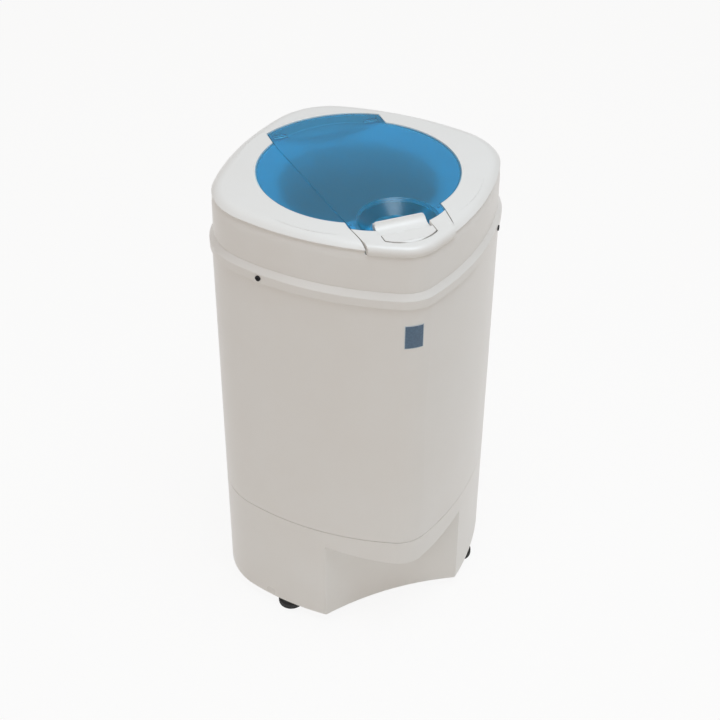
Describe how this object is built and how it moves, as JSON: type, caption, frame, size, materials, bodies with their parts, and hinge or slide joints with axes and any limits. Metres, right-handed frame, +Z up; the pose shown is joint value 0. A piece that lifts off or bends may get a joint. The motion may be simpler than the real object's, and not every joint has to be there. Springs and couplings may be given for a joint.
{
  "type": "laundry spin dryer",
  "caption": "Free-standing upright spin dryer with a hinged round tinted lid, a sprung latch, a perforated steel basket in a sealed tub, a motor with a lid brake and a front drain spout.",
  "frame": {"origin": "on the floor, under the axis that the basket spins about", "axes": "+Z up along the basket's axis; -Y towards the front corner with the latch and the drain spout; +X to the right for someone facing the front corner from outside, looking along +Y"},
  "size_m": [0.3846, 0.3968, 0.6495],
  "materials": {
    "shell": "smooth moulded white",
    "inner_plastic": "satin moulded off-white",
    "window": "clear tinted blue, satin underside",
    "label": "bare coated film",
    "steel": "bright",
    "basket_steel": "brushed stainless",
    "spring_steel": "oiled wire",
    "dark_screw": "black coated",
    "alloy": "as cast",
    "iron": "machined",
    "rubber": "matt",
    "dark_plastic": "fine grain",
    "grey_plastic": "fine grain",
    "red_plastic": "smooth",
    "cream_plastic": "smooth"
  },
  "bodies": {
    "housing": {"base_skirt": "shell", "cabinet": "shell", "collar": "shell", "top_plate": "shell", "funnel": "inner_plastic", "label": "label", "latch_keeper": "steel", "hinge_bracket_left": "inner_plastic", "hinge_bracket_right": "inner_plastic", "rod_guides": "grey_plastic", "brake_bracket": "steel", "lid_switch": "dark_plastic", "tub": "inner_plastic", "tub_cover": "inner_plastic", "tub_gasket": "rubber", "bellows": "rubber", "stator": "iron", "motor_lower_shell": "alloy", "motor_upper_shell": "alloy", "bearing_lower": "steel", "bearing_upper": "steel", "shaft_seal": "rubber", "motor_plate": "steel", "motor_mount_back": "rubber", "motor_mount_left": "rubber", "motor_mount_right": "rubber", "drain_hose": "rubber", "hose_clamps": "steel", "drain_spout": "shell", "capacitor": "alloy", "capacitor_clip": "steel", "terminal_block": "cream_plastic", "cord_gland": "rubber", "foot_front_left": "rubber", "foot_front_right": "rubber", "foot_back_left": "rubber", "foot_back_right": "rubber", "collar_screws": "dark_screw", "plate_screws": "steel", "cover_screws": "steel", "motor_bolts": "steel"},
    "lid": {"lid_window": "window", "lid_nose": "shell", "lid_screws": "steel", "hinge_pin_left": "steel", "hinge_pin_right": "steel", "latch_pin": "steel", "latch_spring": "spring_steel"},
    "latch": {"latch_lever": "shell"},
    "rod": {"interlock_rod": "steel", "rod_spring": "spring_steel"},
    "brake": {"brake_lever": "steel", "brake_lining": "rubber"},
    "plunger": {"switch_plunger": "red_plastic"},
    "spin": {"basket": "basket_steel", "basket_hub": "alloy", "hub_nut": "steel", "shaft": "steel", "rotor": "iron", "brake_drum": "iron"}
  },
  "joints": [
    {"name": "lid_hinge", "type": "hinge", "parent": "housing", "child": "lid", "pos_m": [0, 0.116, 0.636], "axis": [-1, 0, 0], "range_deg": [0, 95]},
    {"name": "latch_pivot", "type": "hinge", "parent": "lid", "child": "latch", "pos_m": [0, -0.173, 0.641], "axis": [1, 0, 0], "range_deg": [0, 20], "stiffness_Nm_per_rad": 0.15, "springref_deg": -17.19},
    {"name": "rod_slide", "type": "slide", "parent": "housing", "child": "rod", "axis": [0, 0, -1], "range_m": [0, 0.005]},
    {"name": "brake_pivot", "type": "hinge", "parent": "housing", "child": "brake", "pos_m": [0.04592, 0.07034, 0.05], "axis": [-0.8374, 0.5466, 0], "range_deg": [0, 4.01]},
    {"name": "plunger_slide", "type": "slide", "parent": "housing", "child": "plunger", "axis": [0, 0, -1], "range_m": [0, 0.003]},
    {"name": "basket_spin", "type": "hinge", "parent": "housing", "child": "spin", "pos_m": [0, 0, 0.3], "axis": [0, 0, 1], "continuous": true}
  ],
  "couplings": [
    {"joint": "rod_slide", "follows": "lid_hinge", "m_per_rad": 0.0030155},
    {"joint": "brake_pivot", "follows": "lid_hinge", "ratio": 0.0422},
    {"joint": "plunger_slide", "follows": "lid_hinge", "m_per_rad": 0.0018093}
  ]
}
